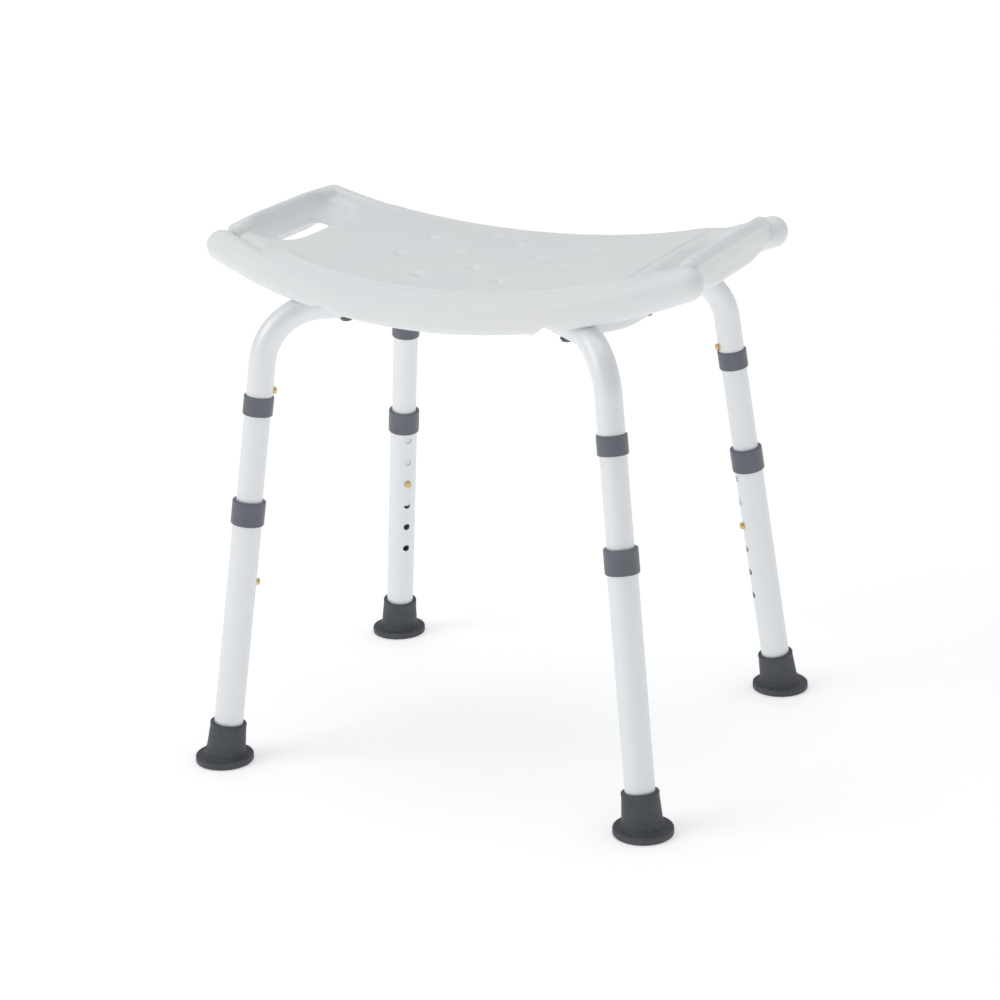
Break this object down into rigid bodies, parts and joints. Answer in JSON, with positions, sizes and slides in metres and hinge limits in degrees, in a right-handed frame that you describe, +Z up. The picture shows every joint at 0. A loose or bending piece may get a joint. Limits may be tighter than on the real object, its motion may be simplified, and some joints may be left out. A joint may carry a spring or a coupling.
{
  "type": "shower stool",
  "caption": "Backless shower stool: curved moulded plastic seat with hand slots on a crossed tube frame, with telescoping legs, snap buttons and rubber feet.",
  "frame": {"origin": "on the floor, under the middle of the seat", "axes": "+Z up, +X along the length of the seat, +Y from the front edge to the back edge"},
  "size_m": [0.4999, 0.429, 0.5145],
  "materials": {
    "seat_plastic": "blow-moulded polyethylene with a fine satin grain",
    "white_powder_coat": "smooth glossy white powder coat on aluminium tube",
    "grey_collar_plastic": "satin grey moulded plastic",
    "grey_rubber": "dark grey moulded rubber",
    "zinc_steel": "zinc plated",
    "dark_zinc_steel": "dark plated",
    "insert_brass": "turned brass",
    "button_brass": "bright plated",
    "spring_steel": "plated spring strip"
  },
  "bodies": {
    "stool_frame": {"seat": "seat_plastic", "frame_tube_a": "white_powder_coat", "frame_tube_b": "white_powder_coat", "seat_screws": "dark_zinc_steel", "seat_screw_washers": "dark_zinc_steel", "seat_inserts": "insert_brass", "seat_end_screws": "dark_zinc_steel", "centre_bolt": "dark_zinc_steel", "centre_nut": "dark_zinc_steel", "leg_tube_front_left": "white_powder_coat", "upper_collar_front_left": "grey_collar_plastic", "upper_spring_front_left": "spring_steel", "lower_spring_front_left": "spring_steel", "leg_tube_front_right": "white_powder_coat", "upper_collar_front_right": "grey_collar_plastic", "upper_spring_front_right": "spring_steel", "lower_spring_front_right": "spring_steel", "leg_tube_back_left": "white_powder_coat", "upper_collar_back_left": "grey_collar_plastic", "upper_spring_back_left": "spring_steel", "lower_spring_back_left": "spring_steel", "leg_tube_back_right": "white_powder_coat", "upper_collar_back_right": "grey_collar_plastic", "upper_spring_back_right": "spring_steel", "lower_spring_back_right": "spring_steel"},
    "lower_leg_front_left": {"lower_tube_front_left": "white_powder_coat", "lower_collar_front_left": "grey_collar_plastic", "foot_front_left": "grey_rubber", "foot_washer_front_left": "zinc_steel"},
    "upper_button_front_left": {"upper_button_front_left": "button_brass"},
    "lower_button_front_left": {"lower_button_front_left": "button_brass"},
    "lower_leg_front_right": {"lower_tube_front_right": "white_powder_coat", "lower_collar_front_right": "grey_collar_plastic", "foot_front_right": "grey_rubber", "foot_washer_front_right": "zinc_steel"},
    "upper_button_front_right": {"upper_button_front_right": "button_brass"},
    "lower_button_front_right": {"lower_button_front_right": "button_brass"},
    "lower_leg_back_left": {"lower_tube_back_left": "white_powder_coat", "lower_collar_back_left": "grey_collar_plastic", "foot_back_left": "grey_rubber", "foot_washer_back_left": "zinc_steel"},
    "upper_button_back_left": {"upper_button_back_left": "button_brass"},
    "lower_button_back_left": {"lower_button_back_left": "button_brass"},
    "lower_leg_back_right": {"lower_tube_back_right": "white_powder_coat", "lower_collar_back_right": "grey_collar_plastic", "foot_back_right": "grey_rubber", "foot_washer_back_right": "zinc_steel"},
    "upper_button_back_right": {"upper_button_back_right": "button_brass"},
    "lower_button_back_right": {"lower_button_back_right": "button_brass"}
  },
  "joints": [
    {"name": "leg_height_front_left", "type": "slide", "parent": "stool_frame", "child": "lower_leg_front_left", "axis": [-0.1112, -0.0942, -0.9893], "range_m": [-0.0762, 0.0508], "deforming": ["lower_button_front_left"]},
    {"name": "upper_press_front_left", "type": "slide", "parent": "stool_frame", "child": "upper_button_front_left", "axis": [-0.7551, -0.6392, 0.1457], "range_m": [0, 0.005], "stiffness_N_per_m": 2000, "springref_m": -0.001},
    {"name": "lower_press_front_left", "type": "slide", "parent": "stool_frame", "child": "lower_button_front_left", "axis": [-0.7551, -0.6392, 0.1457], "range_m": [0, 0.005], "stiffness_N_per_m": 2000, "springref_m": -0.001},
    {"name": "leg_height_front_right", "type": "slide", "parent": "stool_frame", "child": "lower_leg_front_right", "axis": [0.1112, -0.0942, -0.9893], "range_m": [-0.0762, 0.0508], "deforming": ["lower_button_front_right"]},
    {"name": "upper_press_front_right", "type": "slide", "parent": "stool_frame", "child": "upper_button_front_right", "axis": [0.7551, -0.6392, 0.1457], "range_m": [0, 0.005], "stiffness_N_per_m": 2000, "springref_m": -0.001},
    {"name": "lower_press_front_right", "type": "slide", "parent": "stool_frame", "child": "lower_button_front_right", "axis": [0.7551, -0.6392, 0.1457], "range_m": [0, 0.005], "stiffness_N_per_m": 2000, "springref_m": -0.001},
    {"name": "leg_height_back_left", "type": "slide", "parent": "stool_frame", "child": "lower_leg_back_left", "axis": [-0.1112, 0.0942, -0.9893], "range_m": [-0.0762, 0.0508], "deforming": ["lower_button_back_left"]},
    {"name": "upper_press_back_left", "type": "slide", "parent": "stool_frame", "child": "upper_button_back_left", "axis": [-0.7551, 0.6392, 0.1457], "range_m": [0, 0.005], "stiffness_N_per_m": 2000, "springref_m": -0.001},
    {"name": "lower_press_back_left", "type": "slide", "parent": "stool_frame", "child": "lower_button_back_left", "axis": [-0.7551, 0.6392, 0.1457], "range_m": [0, 0.005], "stiffness_N_per_m": 2000, "springref_m": -0.001},
    {"name": "leg_height_back_right", "type": "slide", "parent": "stool_frame", "child": "lower_leg_back_right", "axis": [0.1112, 0.0942, -0.9893], "range_m": [-0.0762, 0.0508], "deforming": ["lower_button_back_right"]},
    {"name": "upper_press_back_right", "type": "slide", "parent": "stool_frame", "child": "upper_button_back_right", "axis": [0.7551, 0.6392, 0.1457], "range_m": [0, 0.005], "stiffness_N_per_m": 2000, "springref_m": -0.001},
    {"name": "lower_press_back_right", "type": "slide", "parent": "stool_frame", "child": "lower_button_back_right", "axis": [0.7551, 0.6392, 0.1457], "range_m": [0, 0.005], "stiffness_N_per_m": 2000, "springref_m": -0.001}
  ]
}
